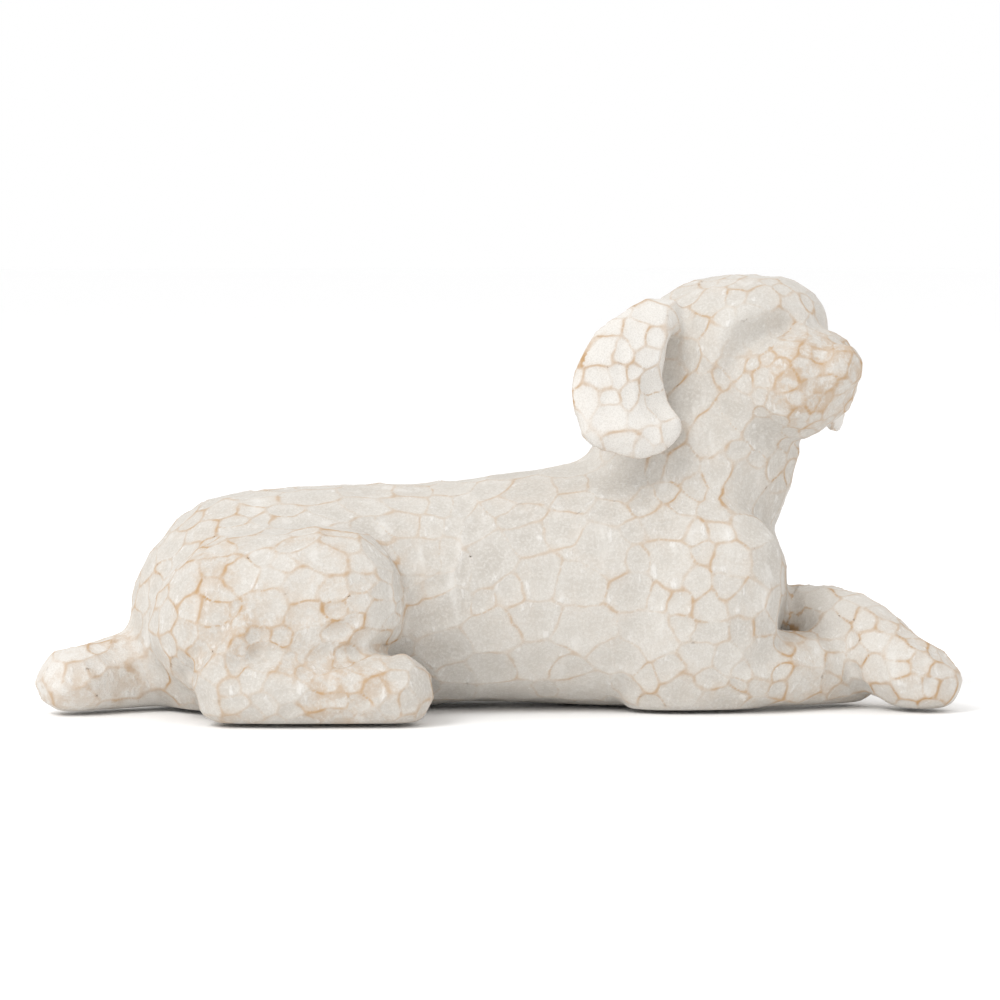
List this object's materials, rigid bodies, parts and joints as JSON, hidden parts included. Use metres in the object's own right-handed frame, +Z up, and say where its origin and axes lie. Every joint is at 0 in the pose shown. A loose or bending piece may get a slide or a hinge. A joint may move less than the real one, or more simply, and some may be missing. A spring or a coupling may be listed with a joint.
{
  "type": "ceramic dog figurine",
  "caption": "Lying dog figurine in matt ceramic with hand-carved facets, head turned aside, forelegs crossed, hollow body on felt discs.",
  "frame": {"origin": "centre of the bounding box, at the underside of the felt discs", "axes": "+X from tail to nose, +Y to the dog's left, +Z up"},
  "size_m": [0.1314, 0.0612, 0.062],
  "materials": {
    "painted_ceramic": "matt, carved facets, off-white slip with tan rubbed into the grooves",
    "felt": "short pile"
  },
  "bodies": {
    "root": {"body": "painted_ceramic", "head": "painted_ceramic", "ear_right": "painted_ceramic", "ear_left": "painted_ceramic", "haunch_right": "painted_ceramic", "haunch_left": "painted_ceramic", "hind_foot_right": "painted_ceramic", "hind_foot_left": "painted_ceramic", "foreleg_right": "painted_ceramic", "foreleg_left": "painted_ceramic", "tail": "painted_ceramic", "felt_pad_rear_right": "felt", "felt_pad_rear_left": "felt", "felt_pad_front_right": "felt", "felt_pad_front_left": "felt"}
  },
  "joints": []
}
